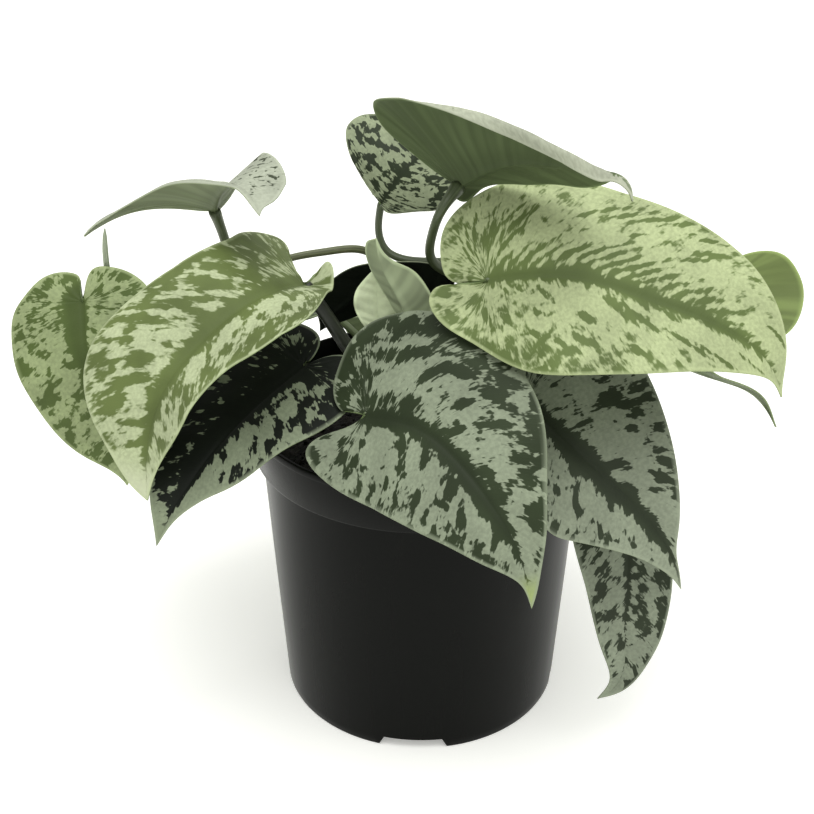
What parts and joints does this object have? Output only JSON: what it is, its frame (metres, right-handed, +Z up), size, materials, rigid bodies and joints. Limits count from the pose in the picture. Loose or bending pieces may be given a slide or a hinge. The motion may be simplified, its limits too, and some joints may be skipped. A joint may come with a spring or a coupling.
{
  "type": "potted satin pothos plant",
  "caption": "Trailing house plant with silver-splashed heart-shaped leaves on slender vines, in a round black nursery pot with soil.",
  "frame": {"origin": "middle of the pot's underside, on the pot's axis, where it stands", "axes": "+Z up along the pot's axis, +X to the right as the picture shows the plant, +Y to its back"},
  "size_m": [0.2708, 0.1888, 0.2235],
  "materials": {
    "pot": "satin",
    "potting_soil": "matte",
    "vine_left": "satin",
    "vine_right": "satin",
    "vine_front": "satin",
    "vine_back_right": "satin",
    "vine_back": "satin",
    "leaf_large_right": "satin",
    "leaf_front": "satin",
    "leaf_right": "satin",
    "leaf_hanging": "satin",
    "leaf_left": "satin",
    "leaf_far_left": "satin",
    "leaf_dark_left": "satin",
    "leaf_top": "satin",
    "leaf_small_top": "satin",
    "leaf_upper_left": "satin",
    "leaf_behind_right": "satin",
    "leaf_edge_right": "satin",
    "leaf_young": "satin",
    "leaf_young_small": "satin",
    "leaf_behind_centre": "satin",
    "leaf_back_1": "satin",
    "leaf_back_2": "satin",
    "leaf_back_3": "satin",
    "leaf_back_4": "satin"
  },
  "bodies": {
    "root": {"pot": "pot", "potting_soil": "potting_soil", "vine_left": "vine_left", "vine_right": "vine_right", "vine_front": "vine_front", "vine_back_right": "vine_back_right", "vine_back": "vine_back", "leaf_large_right": "leaf_large_right", "leaf_front": "leaf_front", "leaf_right": "leaf_right", "leaf_hanging": "leaf_hanging", "leaf_left": "leaf_left", "leaf_far_left": "leaf_far_left", "leaf_dark_left": "leaf_dark_left", "leaf_top": "leaf_top", "leaf_small_top": "leaf_small_top", "leaf_upper_left": "leaf_upper_left", "leaf_behind_right": "leaf_behind_right", "leaf_edge_right": "leaf_edge_right", "leaf_young": "leaf_young", "leaf_young_small": "leaf_young_small", "leaf_behind_centre": "leaf_behind_centre", "leaf_back_1": "leaf_back_1", "leaf_back_2": "leaf_back_2", "leaf_back_3": "leaf_back_3", "leaf_back_4": "leaf_back_4"}
  },
  "joints": []
}
